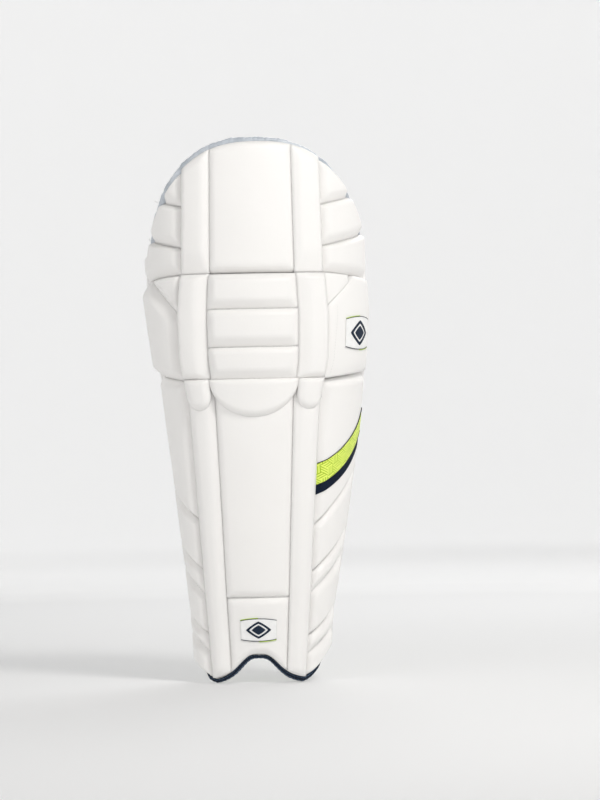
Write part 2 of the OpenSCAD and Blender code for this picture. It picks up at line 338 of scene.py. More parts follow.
def vary_roughness(shader, factor, spread, least):
    link(maths("MULTIPLY_ADD", factor, spread, least), shader, "Roughness")


def noise(vector, scale, detail, rough=0.5):
    inputs = {"Vector": vector, "Scale": scale, "Detail": detail, "Roughness": rough}
    return node(vector.id_data, "ShaderNodeTexNoise", inputs).outputs["Fac"]


def waves(vector, direction, period):
    """A sine of the given period along a direction, from -1 to 1."""
    dot = node(vector.id_data, "ShaderNodeVectorMath", {0: vector, 1: direction}, operation="DOT_PRODUCT")
    return maths("SINE", times(dot.outputs["Value"], 2 * pi / period))


def twill(rib, thread):
    """Ribs and threads together, from 0 to 1."""
    return add(add(times(rib, 0.35), times(thread, 0.15)), 0.5)


def crossing(vector, one, other, period):
    """Two sets of waves multiplied: the squares of a plain weave."""
    return times(waves(vector, one, period), waves(vector, other, period))


def bump(shader, height, strength, distance, below=None):
    inputs = {"Height": height, "Strength": strength, "Distance": distance}
    if below is not None:
        inputs["Normal"] = below
    normal = node(shader.id_data, "ShaderNodeBump", inputs).outputs["Normal"]
    link(normal, shader, "Normal")
    return normal


def leather(name, bright, groove_shade):
    """Coated white cover: fine pebble grain, faint creases, and grey painted shade in the stitched grooves.
    """
    mat, tree, shader = principled(name, Specular_IOR_Level=0.45, Coat_Weight=0.06, Coat_Roughness=0.35)
    where = position(tree)
    shade = node(tree, "ShaderNodeAttribute", attribute_name="shade").outputs["Fac"]
    # Painted shade: the cover turns grey towards the stitched grooves, where the shade attribute is low, with
    # a random mottle added on top
    colour_factor = add(times(shade, 0.85), times(noise(where, 26, 4), 0.3), clamp=True)
    between = tuple(0.4 * a + 0.6 * b for a, b in zip(groove_shade, bright))
    colour_by(shader, colour_factor, [(0.0, groove_shade), (0.3, between), (1.0, bright)])
    vary_roughness(shader, noise(where, 180, 3), 0.22, 0.36)
    pebble = node(tree, "ShaderNodeTexVoronoi", {"Vector": where, "Scale": 1100}).outputs["Distance"]
    creases = bump(shader, noise(where, 70, 5, 0.6), 0.18, 0.0012)
    bump(shader, pebble, 0.12, 0.0004, creases)
    return mat


def mesh_fabric(name, colour, dark):
    """Knitted lining with fine diagonal ribs."""
    mat, tree, shader = principled(name, Roughness=0.85, Sheen_Weight=0.25, Sheen_Roughness=0.5)
    where = position(tree)
    weave = twill(waves(where, (0.75, 0.2, 0.66), 0.0021), waves(where, (-0.66, 0.2, 0.75), 0.00126))
    colour_by(shader, add(weave, times(noise(where, 60, 4), 0.3)), [(0.15, dark), (0.75, colour)])
    bump(shader, weave, 0.55, 0.0004)
    return mat


def printed_cloth(name, ground, lines, pitch=0.034, stripe=0.0034, share=0.34):
    """Blocks of parallel lines in three directions, each block one of the rhombs of a hexagon."""
    mat, tree, shader = principled(name, Specular_IOR_Level=0.35, Sheen_Weight=0.15)
    uv = cloth_uv(tree)
    along_u, along_v = (maths("DIVIDE", axis, pitch) for axis in split_xyz(uv)[:2])
    tall, third_turn = sqrt(3), 2 * pi / 3
    cells = []
    for shift in (0.0, 0.5):
        x = maths("SUBTRACT", maths("FRACT", add(along_u, shift)), 0.5)
        y = maths("FRACT", add(maths("DIVIDE", along_v, tall), shift))
        y = times(maths("SUBTRACT", y, 0.5), tall)
        cells.append((x, y, add(times(x, x), times(y, y))))
    nearer = maths("LESS_THAN", cells[0][2], cells[1][2])
    further = maths("SUBTRACT", 1.0, nearer)
    x, y = (add(times(cells[0][k], nearer), times(cells[1][k], further)) for k in (0, 1))
    angle = add(maths("ARCTAN2", y, x), pi + pi / 6)
    third = maths("FLOOR", maths("MODULO", maths("DIVIDE", angle, third_turn), 3.0))
    tilt = times(add(third, 0.5), third_turn)
    along = add(times(x, maths("COSINE", tilt)), times(y, maths("SINE", tilt)))
    printed = maths("LESS_THAN", maths("FRACT", times(along, pitch / stripe)), share)
    faded = times(printed, add(noise(uv, 300, 2), 0.45), clamp=True)
    colour_by(shader, faded, [(0.0, ground), (1.0, lines)])
    vary_roughness(shader, noise(uv, 900, 2), 0.3, 0.5)
    bump(shader, crossing(uv, (1, 0, 0), (0, 1, 0), 0.0007), 0.3, 0.0002)
    return mat


def webbing(name, stops):
    """Twill strap: stripes across its width, from the lower edge to the upper, and diagonal ribs."""
    mat, tree, shader = principled(name, Roughness=0.85, Sheen_Weight=0.06, Sheen_Roughness=0.4,
                                   Specular_IOR_Level=0.15)
    along, across, _ = split_xyz(cloth_uv(tree))
    flat = node(tree, "ShaderNodeCombineXYZ", {0: along, 1: times(across, 0.05)}).outputs[0]
    ribs = waves(flat, (0.7, 1.0, 0), 0.0017)
    weave = twill(ribs, waves(flat, (0, 1, 0), 0.0012))
    colour = ramp(add(across, times(ribs, 0.004)), stops, "CONSTANT")
    shadow = maths("MULTIPLY_ADD", weave, 0.22, 0.78)
    tinted = node(tree, "ShaderNodeVectorMath", {0: colour, "Scale": shadow}, operation="SCALE")
    link(tinted.outputs[0], shader, "Base Color")
    bump(shader, weave, 0.6, 0.0004)
    return mat


def plain_fabric(name, colour, dark, period=0.0012, rough=0.7, bumpy=0.4, sheen=0.15, shine=0.3):
    """Plain woven cloth, faintly mottled."""
    mat, tree, shader = principled(name, Sheen_Weight=sheen, Specular_IOR_Level=shine)
    where = position(tree)
    weave = crossing(where, (1, 0.6, 0), (0, 0.3, 1), period)
    mottled = add(maths("MULTIPLY_ADD", weave, 0.3, 0.35), times(noise(where, 90, 4), 0.5))
    colour_by(shader, mottled, [(0.2, dark), (0.8, colour)])
    vary_roughness(shader, noise(where, 240, 3), 0.25, rough - 0.12)
    bump(shader, weave, bumpy, 0.0003)
    return mat


BRAID_PITCH = 0.0062


def braided(name, dark, light):
    """Plaited cord: pale crossings on a dark ground, wound round a tube."""
    mat, tree, shader = principled(name, Roughness=0.65, Specular_IOR_Level=0.2)
    uv = cloth_uv(tree)
    lay = 2 * BRAID_PITCH
    plait = crossing(uv, (1, lay, 0), (1, -lay, 0), BRAID_PITCH)
    colour_factor = add(plait, times(noise(position(tree), 300, 3), 0.4))
    colour_by(shader, colour_factor, [(0.3, dark), (0.8, light)])
    bump(shader, plait, 0.7, 0.0006)
    return mat


def satin(name, colour, dark):
    """Smooth binding tape, with painted shade and highlight on its folds: its colour darkens and lightens
    with them.
    """
    mat, tree, shader = principled(name, Anisotropic=0.5, Sheen_Weight=0.3, Specular_IOR_Level=0.7)
    where = position(tree)
    folds = noise(where, 42, 2)
    # Painted shade and highlight: the tape's colour follows the same noise that bumps its folds
    colour_by(shader, folds, [(0.3, dark), (0.62, colour)])
    vary_roughness(shader, noise(where, 500, 2), 0.2, 0.24)
    creases = bump(shader, folds, 0.5, 0.003)
    bump(shader, waves(where, (1, 1, 1), 0.0006), 0.2, 0.0001, creases)
    return mat


def moulded(name, colour, light, rough=0.42, shine=0.5):
    """Moulded plastic with a fine spark texture and a faint mottle in its colour."""
    mat, tree, shader = principled(name, Specular_IOR_Level=shine)
    where = position(tree)
    colour_by(shader, noise(where, 160, 4), [(0.35, colour), (0.8, light)])
    vary_roughness(shader, noise(where, 320, 3), 0.2, rough - 0.1)
    bump(shader, noise(where, 2400, 2), 0.25, 0.0002)
    return mat


WHITE, GROOVE_SHADE_GREY = (0.89, 0.875, 0.855), (0.82, 0.81, 0.80)
NAVY, NAVY_LIGHT = (0.003, 0.007, 0.018), (0.008, 0.016, 0.036)
LIME, LIME_DARK = (0.78, 0.98, 0.16), (0.16, 0.25, 0.02)
BAND_LIME, BAND_DARK = (0.84, 0.98, 0.17), (0.40, 0.58, 0.02)
STRIPES = [(0.0, (0.86, 0.86, 0.85)), (0.46, (0.58, 0.82, 0.06)), (0.59, (0.006, 0.014, 0.034)),
           (0.80, (0.86, 0.86, 0.85))]
mats = {
    "cover": leather("white_cover", WHITE, GROOVE_SHADE_GREY),
    "lining": plain_fabric("white_lining", (0.88, 0.88, 0.87), (0.72, 0.72, 0.72), 0.0009, 0.7, 0.25),
    "mesh": mesh_fabric("diagonal_mesh", (0.88, 0.88, 0.87), (0.60, 0.60, 0.60)),
    "print": printed_cloth("line_print_cloth", LIME, LIME_DARK),
    "print_fine": printed_cloth("wing_band_print_cloth", BAND_LIME, BAND_DARK, 0.018, 0.0030, 0.42),
    "satin": satin("satin_tape", (0.56, 0.60, 0.65), (0.36, 0.40, 0.45)),
    "navy": plain_fabric("navy_cord", NAVY_LIGHT, NAVY, 0.0016, 0.7, 0.6, 0.0, 0.12),
    "braid": braided("navy_braid", NAVY, (0.09, 0.14, 0.22)),
    "lime": plain_fabric("lime_piping", (0.62, 0.85, 0.12), (0.42, 0.62, 0.06), 0.0012, 0.6),
    "gusset": plain_fabric("lime_gusset", (0.58, 0.80, 0.42), (0.44, 0.66, 0.30), 0.0014, 0.75),
    "thread": plain_fabric("white_thread", (0.84, 0.84, 0.82), (0.66, 0.66, 0.65), 0.0006, 0.6),
    "ring": moulded("navy_plastic", (0.008, 0.018, 0.036), (0.016, 0.03, 0.055)),
    "badge": moulded("badge_white", (0.86, 0.86, 0.85), (0.93, 0.93, 0.92), 0.5),
    "badge_navy": moulded("badge_navy", (0.006, 0.016, 0.036), (0.012, 0.024, 0.05), 0.55, 0.2),
    "hook": plain_fabric("hook_tape", (0.84, 0.84, 0.83), (0.66, 0.66, 0.65), 0.0018, 0.8, 0.9),
    "webbing": webbing("striped_webbing", STRIPES),
}

# ---------------------------------------------------------------- face pads
COVER_D = 3.0                       # the cover under the pads
STEP = 3.4                          # mesh size across a pad
SINK = 1.2                          # how far a pad's back lies inside the cover
V_GAP, SLIT, SEAM = 0.0006, 0.12, 0.3   # half gaps: beside a cane (in v), between pads, at the top hat's seam
WING_END = 1.985
DIP_REACH, CUT_W = 6, 9


def line_gap(x, z, start, end):
    """Distance in mm from each (x, z) to a straight line between two (v, z) points."""
    x0, dx = across_mm(*start), across_mm(*end) - across_mm(*start)
    z0, dz = start[1], end[1] - start[1]
    t = np.clip(((x - x0) * dx + (z - z0) * dz) / (dx * dx + dz * dz), 0, 1)
    return np.hypot(x - x0 - t * dx, z - z0 - t * dz)


class Pad:
    """One padded panel: its outline on the surface, its crown and its chamfers down to the stitched border at
    v0, v1, the bottom and the top. An inner one (side -1) is stated as its mirror image. dome swells its
    middle, cut presses a line into it, and dips lower its bottom and top lips."""

    def __init__(self, v0, v1, low, high, crown, chamfers, side=1, cut=None, *, drop, dome=0.0,
                 floor=COVER_D, round_=0.3, dips=(0, 0)):
        if side < 0:
            v0, v1, chamfers = -v1, -v0, (chamfers[1], chamfers[0], *chamfers[2:])
        self.v0, self.v1, self.low, self.high = v0, v1, low, high
        self.crown, self.lip, self.chamfers, self.cut = crown, crown - drop, chamfers, cut
        self.floor, self.round, self.dome, self.dips = floor, round_, dome, dips

    def height(self, v, z):
        """Share of the full crown, 0 at the border and 1 on top: rounded, and as plain facets."""
        left, right, bottom, top = (w(z) if callable(w) else w for w in self.chamfers)
        here = across_mm(v, z)
        edges = [(here - across_mm(self.v0, z), left), (across_mm(self.v1, z) - here, right),
                 (z - self.low(v), bottom), (self.high(v) - z, top)]
        if self.cut:
            edges.append((line_gap(here, z, *self.cut), CUT_W))
        left_over = sum((1 - np.clip(e / w, 0, 1)) ** 5 for e, w in edges) ** 0.2
        h = np.clip(1 - left_over, 0, 1)
        return (1 - self.round) * h + self.round * np.sin(h * pi / 2), h

    def depth(self, v, z):
        h, raw = self.height(v, z)
        here, left = across_mm(v, z), across_mm(self.v0, z)
        u = np.clip((here - left) / (across_mm(self.v1, z) - left), 0, 1)
        swell = self.dome(u) if callable(self.dome) else self.dome * np.sin(u * pi)
        ripple = np.sin(here * 0.55 + 2.1 * np.sin(z * 0.07)) * np.sin(z * 0.5 + 1.7 * np.sin(here * 0.09))
        pucker = 0.28 * ripple * np.exp(-raw * 5)
        broad = 0.35 * np.sin(here * 0.045 + z * 0.021 + self.v0 * 9) * np.sin(z * 0.037 + self.v1 * 5)
        foot, head = (np.clip(1 - gap / DIP_REACH, 0, 1) for gap in (z - self.low(v), self.high(v) - z))
        return (self.lip + (self.crown - self.lip + swell) * h + pucker + broad * h
                - self.dips[0] * foot - self.dips[1] * head)

    def build(self, name, body, nodes):
        middle = (self.v0 + self.v1) / 2
        z = float((self.low(np.array(middle)) + self.high(np.array(middle))) / 2)
        wide = float(across_mm(self.v1, z) - across_mm(self.v0, z))
        v = np.linspace(self.v0, self.v1, 9)
        tall = float(max(np.max(self.high(v) - self.low(v)), 4))
        cols, rows = (max(6, int(length / STEP)) + 1 for length in (wide, tall))
        v, z = patch(np.linspace(self.v0, self.v1, cols), self.low, self.high, rows)
        front, back = skin(v, z, self.depth(v, z)), skin(v, z, self.floor - SINK)
        # Painted shade: the shade attribute falls to 0 at a pad's stitched border, where the cover material
        # paints it grey
        shade = np.clip(self.height(v, z)[0] * 5.0, 0, 1)
        obj = sheet_mesh(name, front, back, flat_uvs(v, z), shade)
        return finish_piece(obj, body, "cover", nodes)


pads = {}


def add_pad(name, nodes, *args, **kwargs):
    pads[name] = Pad(*args, **kwargs)
    pads[name].build(name, "top_hat" if name.startswith("top_hat") else "root", nodes)


# Stitched lines across the wings, as height beside the cane and rise to the rear edge. The shin's last two
# are pressed into its lowest pads.
TOP_ROWS = [(606, 22), (664, 24)]
SHIN_ROWS = {-1: [(225, 62), (155, 62), (66, 50), (120, 56), (41, 42)],
             1: [(214, 92), (150, 72), (62, 52), (121, 62), (37, 42)]}
KNEE_SLANTS = {-1: (512, 92), 1: (523, 92)}
KNEE_ROWS = [KNEE_H, 467, 520]
MIDDLE = (-INNER_V + V_GAP, INNER_V - V_GAP)
CANE = (INNER_V + V_GAP, 1 - V_GAP)

seam_top = raised(seam_z, SEAM)
seam_under = raised(seam_z, -SEAM)
over_foot = raised(foot_z, 7.5)
under_knee = raised(knee_z, -1.5)


def under_dome(v):
    return dome_z(v) - np.interp(v, (-2, -1.3, -0.6, 0.6, 1.2, 2), (8, 9, 7, 6, 5, 5))


def top_hat():
    add_pad("top_hat_center", ["top_hat_center_panel"], *MIDDLE, seam_top, under_dome, PANEL_D,
            (8, 8, 12, 8), dome=1.0, drop=4.5, dips=(3.5, 0))
    lines = [line(*row) for row in TOP_ROWS]
    lows = [seam_top] + [raised(f, SLIT) for f in lines]
    highs = [lambda v, f=f: np.minimum(f(v) - SLIT, under_dome(v)) for f in lines] + [under_dome]
    for side, word in SIDES.items():
        add_pad(f"top_hat_cane_{word}_cover", [f"top_hat_cane_{word}"], *CANE, seam_top, under_dome, CANE_D,
                (9, 4, 30, 12), side, dome=0.5, drop=5.5)
        for i, (low, high) in enumerate(zip(lows, highs), 1):
            ends = np.arange(1.2, 1.98, 0.01)
            room = under_dome(side * ends) - low(side * ends) > 7
            end = float(min(ends[room].max() + 0.005, WING_END))
            add_pad(f"top_hat_wing_{word}_{i}", [f"top_hat_wing_pad_{word}_{i}"], 1 + V_GAP, end, low, high,
                    WING_D + 1, (12, 6, 15, 4), side, dome=0.5, drop=8.5)


def knee():
    edges = [line(row) for row in KNEE_ROWS] + [raised(seam_z, -SEAM - 0.7 + SLIT)]
    for i, (word, top, dip) in enumerate((("lower", 6, 0), ("middle", 6, 0), ("upper", 8, 2))):
        add_pad(f"knee_roll_{word}_cover", [f"knee_roll_{word}"], *MIDDLE, raised(edges[i], SLIT),
                raised(edges[i + 1], -SLIT), ROLL_D - 1, (10, 10, 14, top), dome=1.0, drop=8.5, dips=(0, dip))

    def facet(z):
        return np.interp(z, (400, 420, 535, 560), (30, 30, 20, 5))

    def ridge(u):
        return 5 * np.clip((1 - u) / 0.55, 0, 1)

    # Where the upper pad ends, its chamfers and drop, then the main pad's chamfers, dome and drop
    shapes = {-1: (1.5, (6, 5, 14, 5), 8, (18, facet, 12, 20), ridge, 8),
              1: (1.36, (6, 5, 7, 5), 0.7, (5, 6, 12, 7), 1.0, 1.5)}
    for side, word in SIDES.items():
        add_pad(f"knee_cane_{word}_cover", [f"knee_cane_{word}"], *CANE, knee_z, seam_under, ROLL_D - 3,
                (16, 4, 8, 7), side, dome=1.0, drop=8)
        end, upper, upper_drop, main, dome, drop = shapes[side]
        slant = line(*KNEE_SLANTS[side])
        add_pad(f"knee_wing_{word}_upper", [f"knee_wing_pad_{word}_1"], 1 + V_GAP, end,
                lambda v, f=slant: np.minimum(f(v) + SLIT, seam_under(v) - 2), seam_under, WING_D + 3,
                upper, side, drop=upper_drop)
        add_pad(f"knee_wing_{word}_main", [f"knee_wing_pad_{word}_2"], 1 + V_GAP, WING_END, knee_z,
                lambda v, f=slant: np.minimum(f(v) - SLIT, seam_under(v)), WING_D + 3, main, side,
                dome=dome, drop=drop)


def shin():
    add_pad("shin_center", ["shin_center_panel"], *MIDDLE, line(INSTEP_H + SLIT), under_knee,
            PANEL_D, (8, 8, 8, 8), dome=1.5, drop=4.5)
    add_pad("instep", ["instep_panel"], *MIDDLE, over_foot, line(INSTEP_H - SLIT), PANEL_D - 0.5,
            (7, 7, 8, 9), dome=1.0, drop=4.5)
    for side, word in SIDES.items():
        add_pad(f"shin_cane_{word}_cover", [f"shin_cane_{word}", f"cane_core_{word}"], *CANE, over_foot,
                under_knee, CANE_D, (10, 9, 10, 8), side, dome=1.0, drop=5.5, round_=0.6)
        rows = SHIN_ROWS[side]
        marks = [line(*row) for row in rows[:3]]
        lows = [lambda v, f=f: np.maximum(f(v) + SLIT, over_foot(v)) for f in marks] + [over_foot]
        highs = [under_knee] + [raised(f, -SLIT) for f in marks]
        cuts = [None, None] + [((side * 0.98, z), (side * 2.0, z + rise)) for z, rise in rows[3:]]
        for i, (low, high, cut) in enumerate(zip(lows, highs, cuts), 1):
            add_pad(f"shin_wing_{word}_{i}", [f"shin_wing_pad_{word}_{i}"], 1 + V_GAP, WING_END, low, high,
                    WING_D + 1, (14 if i == 1 else 10, 6, 4, 13), side, cut, dome=0.5, drop=8)


def tongues():
    """The flaps below the knee, stitched under its lower edge."""
    def moon_low(v):
        return KNEE_H - 2 - 50 * np.sqrt(np.clip(1 - (v / 0.64) ** 2, 0.01, 1))

    def cane_low(v):
        return KNEE_H - 43 + 22 * (1 - np.sqrt(np.clip(1 - ((np.abs(v) - 0.81) / 0.185) ** 2, 0, 1)))

    top = line(KNEE_H + 1)
    add_pad("half_moon", ["half_moon_tongue"], -0.635, 0.635, moon_low, top, PANEL_D + 7,
            (8, 8, 9, 5), floor=PANEL_D - 1, dome=1.5, round_=0.9, drop=5.5)
    for side, word in SIDES.items():
        add_pad(f"cane_tongue_{word}_cover", [f"cane_tongue_{word}"], 0.63, 0.99, cane_low, top, CANE_D + 6.5,
                (9, 9, 9, 5), side, floor=CANE_D - 3, dome=1.0, round_=0.9, drop=6)


# ---------------------------------------------------------------- cover, edges and seams
def cover():
    """One continuous cover under the pads, with the lining on its back."""
    v = np.concatenate([np.linspace(-2, -1, 27)[:-1], np.linspace(-1, 1, 45)[:-1], np.linspace(1, 2, 27)])
    v, z = patch(v, raised(foot_z, 0.6), raised(dome_z, -1), 120)
    # The cover's shade of 0.12 paints it grey where it shows between the pads: painted shade in the slits
    obj = sheet_mesh("cover_and_lining", skin(v, z, COVER_D), skin(v, z, -BACK_T), flat_uvs(v, z), 0.12)
    finish_piece(obj, None, ["cover", "lining"], ["pad_backing", "top_hat_backing"])
    rows, cols = v.shape
    for back in range(1, 2 * (rows - 1) * (cols - 1), 2):
        obj.data.polygons[back].material_index = 1
    bend_at_seam(obj)


def edge_rolls():
    """Rounded rear edges of the wings, with a navy and a lime piping beside them."""
    for side, word in SIDES.items():
        z = np.linspace(float(foot_z(2.0 * side)) + 2, float(dome_z(1.98 * side)) - 2, 130)
        radius = np.interp(z, (z[0], z[0] + 6, z[-1] - 9, z[-1]), (4, 7.2, 7.2, 3.5))
        # The roll's mesh has no shade attribute, so the cover material paints it all over in the grey of its
        # painted groove shade
        roll = tube(f"wing_edge_{word}", skin(2.0 * side, z, 4.0), radius * MM, 16,
                    lambda a, s: 1 + 0.03 * sin(s * 420 + 2 * a) + 0.02 * sin(s * 151))
        bend_at_seam(finish_piece(roll, None, "cover"))
        for name, v, d in (("navy", 1.955, -5.2), ("lime", 1.93, -8.8)):
            bend_at_seam(cord(f"{name}_piping_{word}", v * side, z, d, 1.1, None, name))


def dome_binding():
    """Satin tape folded over the dome's edge, with gathered folds."""
    v = np.linspace(-1.97, 1.97, 420)
    phases = np.random.default_rng(7).uniform(0, 6.28, 6)
    run = across_mm(v, 650.0)
    folds = sum(np.sin(run * f + p) for f, p in zip((0.11, 0.19, 0.31, 0.47, 0.73, 1.1), phases)) / 6
    path = skin(v, dome_z(v) - 5.0 + 0.5 * folds, 3.4 + 0.7 * folds)
    radius = np.interp(v, [-1.9, -1.2, -0.2, 0.4, 1.9], [4.6, 6.4, 5.6, 4.2, 3.4]) * (1 + 0.10 * folds)
    tape = tube("dome_binding", path, radius * MM, 16, lambda a, s: 1 + 0.05 * sin(3 * a + s * 160))
    finish_piece(tape, "top_hat", "satin", ["top_hat_binding"])


def foot_binding():
    """Braid bound along the instep arch and up the outer tips, and up behind the outer wing's rear edge."""
    start, end = -1.25, 1.6
    v = np.linspace(start, end, 560)
    tuck = 5 * np.clip(1 - np.minimum(v - start, end - v) / 0.06, 0, 1) ** 1.5
    radius = np.interp(v, (start, -1.15, -0.8, -0.4, 0, 0.4, 0.9, 1.4, end),
                       (1.0, 2.4, 3.0, 3.9, 2.4, 3.2, 3.8, 3.1, 1.2))
    path = skin(v, foot_z(v) + 0.5 + radius + tuck, 1.1 + radius + 0.4 * tuck)
    arch = tube("instep_cord", path, radius * MM, 14,
                lambda a, s: 0.84 + 0.2 * abs(sin(pi * s / BRAID_PITCH + a)))
    finish_piece(arch, "root", "braid", ["instep_binding"])
    z = np.linspace(float(foot_z(2.0)) + 7, 84, 150)
    radius = np.interp(z, (z[0], z[0] + 4, 81, 84), (1.5, 4.4, 4.4, 2))
    braid = tube("wing_edge_braid", skin(1.985, z, -1.4), radius * MM, 14,
                 lambda a, s: 0.88 + 0.12 * abs(sin(pi * s / 0.0044 + a)))
    finish_piece(braid, "root", "braid")


def dashes(name, body, marks, profile):
    """Thread dashes at marks of (middle, direction, side). profile gives (place along it, radius) in mm."""
    verts, faces = [], []
    for here, along, side in marks:
        other = np.cross(along, side)
        faces += ring_faces(len(profile), 6, len(verts))
        verts += [here + (along * end + (side * cos(a) + other * sin(a)) * r) * MM
                  for end, r in profile for a in np.radians(range(0, 360, 60))]
    return finish_piece(new_object(name, verts, faces), body, "thread")


def stitches(name, body, runs, pitch=4.2, half=1.3, radius=0.5):
    """Thread dashes along lines of (v, z, d) points."""
    marks = []
    for v, z, d in runs:
        points = skin(v, z, d)
        length = run_of(points)
        for s in np.arange(pitch * 0.5 * MM, length[-1], pitch * MM):
            here, ahead = np.array([np.interp((s, s + 0.5 * MM), length, points[:, k]) for k in range(3)]).T
            if np.linalg.norm(ahead - here) < 1e-7:
                continue
            along = (ahead - here) / np.linalg.norm(ahead - here)
            side = np.cross(along, (0, 0, 1) if abs(along[2]) < 0.9 else (1, 0, 0))
            marks.append((here, along, side / np.linalg.norm(side)))
    ends = ((-1, 0.35), (-0.6, 1), (0.6, 1), (1, 0.35))
    return dashes(name, body, marks, [(half * end, radius * share) for end, share in ends])


def seam_stitching():
    """Thread in the grooves between the pads."""
    t = np.linspace(0, 1, 60)

    def row(v0, v1, height, d):
        v = v0 + (v1 - v0) * t
        return v, height(v), d

    def column(v, z0, z1, d):
        return v, z0 + (z1 - z0) * t, d

    roll, wing, panel = ROLL_D - 9.1, WING_D - 5.7, PANEL_D - 4.2
    knee_runs = [row(-INNER_V, INNER_V, line(height), roll) for height in KNEE_ROWS[1:]]
    top_runs, shin_runs = [], [row(-INNER_V, INNER_V, line(INSTEP_H), panel)]
    for side in SIDES:
        shin_runs.append(column(INNER_V * side, float(over_foot(INNER_V)), KNEE_H - 4, panel + 0.6))
        top_runs.append(column(INNER_V * side, SEAM_H + 3, float(dome_z(INNER_V)) - 14, panel + 0.6))
        shin_runs.append(column(1.0 * side, float(over_foot(1.0)), KNEE_H - 4, wing + 0.6))
        knee_runs.append(column(INNER_V * side, KNEE_H + 2, SEAM_H - 2, roll - 1))
        for mark, end in zip(TOP_ROWS, (1.9, 1.5)):
            top_runs.append(row(1.01 * side, end * side, line(*mark), wing))
        for mark in SHIN_ROWS[side]:
            shin_runs.append(row(1.01 * side, 1.96 * side, line(*mark), wing + 0.1))
    knee_runs.append(row(-1.01, -1.45, line(*KNEE_SLANTS[-1]), WING_D - 4.8))
    knee_runs.append(row(1.01, 1.35, line(*KNEE_SLANTS[1]), WING_D + 1.5))
    stitches("knee_stitching", "root", knee_runs, 4.0, 1.35, 0.6)
    stitches("shin_stitching", "root", shin_runs)
    stitches("top_hat_stitching", "top_hat", top_runs)
    # A flat sewn line down the outer knee wing, on top of the pad
    v, z = 1.14 - 0.06 * t, 524 - 96 * t
    depth = pads["knee_wing_outer_main"].depth(v, z)
    stitches("knee_wing_stitching", "root", [(v, z, depth + 0.1)], 4.2, 1.0, 0.38)


# ---------------------------------------------------------------- trim
def on_pad(name, pad, v, low, high, thick, material, nodes=(), lift=0.4, rows=16):
    """A thin piece of cloth lying on a pad's surface, or at d = lift if there is no pad."""
    v, z = patch(v, low, high, rows)
    base = pad.depth(v, z) + lift if pad else lift
    obj = sheet_mesh(name, skin(v, z, base + thick), skin(v, z, base), flat_uvs(v, z))
    return finish_piece(obj, "root", material, nodes)


def declare_sheet(obj):
    """Works out the cloth's flat size: half its surface, cut from a rectangle round its own outline. The size
    is kept nowhere.
    """
    area = sum(face.area for face in obj.data.polygons) / 2
    uv = np.array([d.uv for d in obj.data.uv_layers["Cloth"].data])
    width, length = uv.max(0) - uv.min(0)
    length = min(max(length, area / width), area / width / 0.4)


def wing_band():
    """Printed lime cloth over a navy one, edged with thin dark lines, round the outer shin wing."""
    pad = pads["shin_wing_outer_1"]

    def low(v):
        return 258 + 45 * wing_w(v) + 40 * wing_w(v) ** 2

    def high(v):
        return 302 + 40 * wing_w(v) + 45 * wing_w(v) ** 2

    split, start, end = raised(low, 13), 1.012, 1.965
    declare_sheet(on_pad("wing_band_print", pad, np.linspace(start, end, 70), split, high, 0.5, "print_fine",
                         ["wing_band"]))
    declare_sheet(on_pad("wing_band_navy", pad, np.linspace(start, 1.86, 60), low, split, 0.55, "navy",
                         rows=6))
    v = np.linspace(start, end, 90)
    for name, height in (("wing_band_line", high), ("wing_band_lower_line", split)):
        cord(name, v, height(v), pad.depth(v, height(v)) + 0.75, 0.62, "root", "navy")


def emblem(name, pad, v_mid, z_mid, v_half, z_half, body, lift):
    """A plain upright lozenge with an open lozenge round it."""
    angle = np.linspace(0, 2 * pi, 48, endpoint=False)
    reach = 1 / (np.abs(np.cos(angle)) ** 1.15 + np.abs(np.sin(angle)) ** 1.15) ** (1 / 1.15)
    out = 1 if pad else -1
    for part, scales, hollow in (("core", (0.02, 0.62, 8), False), ("frame", (0.84, 1.12, 5), True)):
        scale = np.linspace(*scales)[:, None]
        v = v_mid + v_half * scale * reach * np.cos(angle)
        z = z_mid + z_half * scale * reach * np.sin(angle)
        d = (pad.depth(v, z) if pad else 0) + lift
        rings = [*skin(v, z, d + out * 0.55), *skin(v, z, d - out * 0.2)[::-1]]
        faces = ring_faces(len(rings), len(angle), closed=hollow)
        finish_piece(new_object(f"{name}_{part}", np.concatenate(rings), faces), body, "badge_navy")


def badges():
    """Sewn patches with a curved top and bottom edge in grey and lime, and a plain lozenge."""
    for name, pad, v_mid, z_mid, v_half, z_half in (
            ("knee_badge", pads["knee_wing_outer_main"], 1.53, 485.0, 0.27, 23.0),
            ("instep_badge", pads["instep"], 0.0, 74.0, 0.345, 15.5)):
        def edge(v, way):
            return z_mid + way * z_half * (1.0 - 0.16 * ((v - v_mid) / v_half) ** 2)

        reach = (v_mid - v_half, v_mid + v_half)
        on_pad(f"{name}_patch", pad, np.linspace(*reach, 30), lambda v: edge(v, -1), lambda v: edge(v, 1),
               0.9, "badge", [name], rows=20)
        run = np.linspace(*reach, 60)
        for word, way, half in (("top", 1, run[:30]), ("bottom", -1, run[30:])):
            for part, v, material, shift in (("dark", run, "badge_navy", 0), ("lime", half, "lime", 0.9)):
                z = edge(v, way)
                d = pad.depth(v, z) + 1.2
                cord(f"{name}_{word}_{part}_edge", v, z + way * shift, d, 0.5, "root", material, 6)
        emblem(name, pad, v_mid, z_mid, v_half * 0.62, z_half * 0.68, "root", 1.3)


# ---------------------------------------------------------------- back
SHIELD = [[0, 586], [0.70, 634], [0.98, 698]]
SHIELD_V = SHIELD[-1][0]


def shield_z(v):
    return lookup(np.abs(v), SHIELD)


def back_sheet(name, v, low, high, far, body, material, nodes=(), near=0.3, rows=50, emboss=None):
    """A layer behind the surface, from near mm inside the lining's rear to d = far."""
    v, z = patch(v, low, high, rows)
    rear = skin(v, z, far + (emboss(v, z) if emboss else 0))
    obj = sheet_mesh(name, rear, skin(v, z, near - BACK_T), flat_uvs(v, z), 1.0)
    return finish_piece(obj, body, material, nodes)


